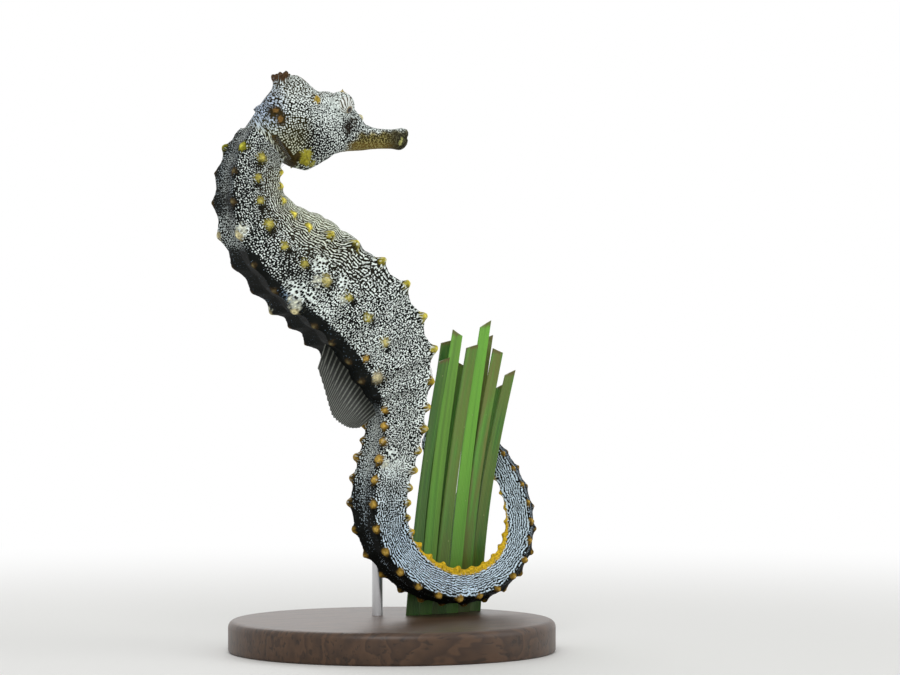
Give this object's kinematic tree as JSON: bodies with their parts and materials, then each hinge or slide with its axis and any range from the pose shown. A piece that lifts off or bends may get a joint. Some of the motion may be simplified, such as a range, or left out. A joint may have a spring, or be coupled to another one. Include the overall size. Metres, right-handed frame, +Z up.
{
  "type": "seahorse",
  "caption": "Life-size still model of a seahorse with a ringed, knobbly body and a netted black and white skin, its tail round a short tuft of seagrass, on a plain round display stand.",
  "frame": {"origin": "middle of the underside of the stand's base", "axes": "+X the way the seahorse faces, +Y its left, +Z up"},
  "size_m": [0.0825, 0.072, 0.1268],
  "materials": {
    "skin": "black-brown skin over bony rings with a fine white net, dots and yellow tubercles, slightly glossy",
    "eye": "wet gloss, brown and gold with white lines",
    "fin": "thin, translucent, rayed",
    "seagrass": "smooth green blades, satin",
    "wood": "dark stained, satin",
    "steel": "satin"
  },
  "bodies": {
    "root": {"neck": "skin", "trunk_upper": "skin", "trunk_middle": "skin", "trunk_lower": "skin", "tail_1": "skin", "tail_2": "skin", "tail_3": "skin", "tail_4": "skin", "tail_5": "skin", "tail_6": "skin", "tail_tip": "skin", "head": "skin", "snout": "skin", "coronet": "skin", "eye_left": "eye", "eye_right": "eye", "fin_dorsal": "fin", "fin_anal": "fin", "fin_pectoral_left": "fin", "fin_pectoral_right": "fin", "perch_blade_1": "seagrass", "perch_blade_2": "seagrass", "perch_blade_3": "seagrass", "perch_blade_4": "seagrass", "perch_blade_5": "seagrass", "perch_blade_6": "seagrass", "perch_blade_7": "seagrass", "perch_blade_8": "seagrass", "perch_blade_9": "seagrass", "perch_blade_10": "seagrass", "stand_base": "wood", "stand_rod_body": "steel", "stand_rod_perch": "steel"}
  },
  "joints": []
}
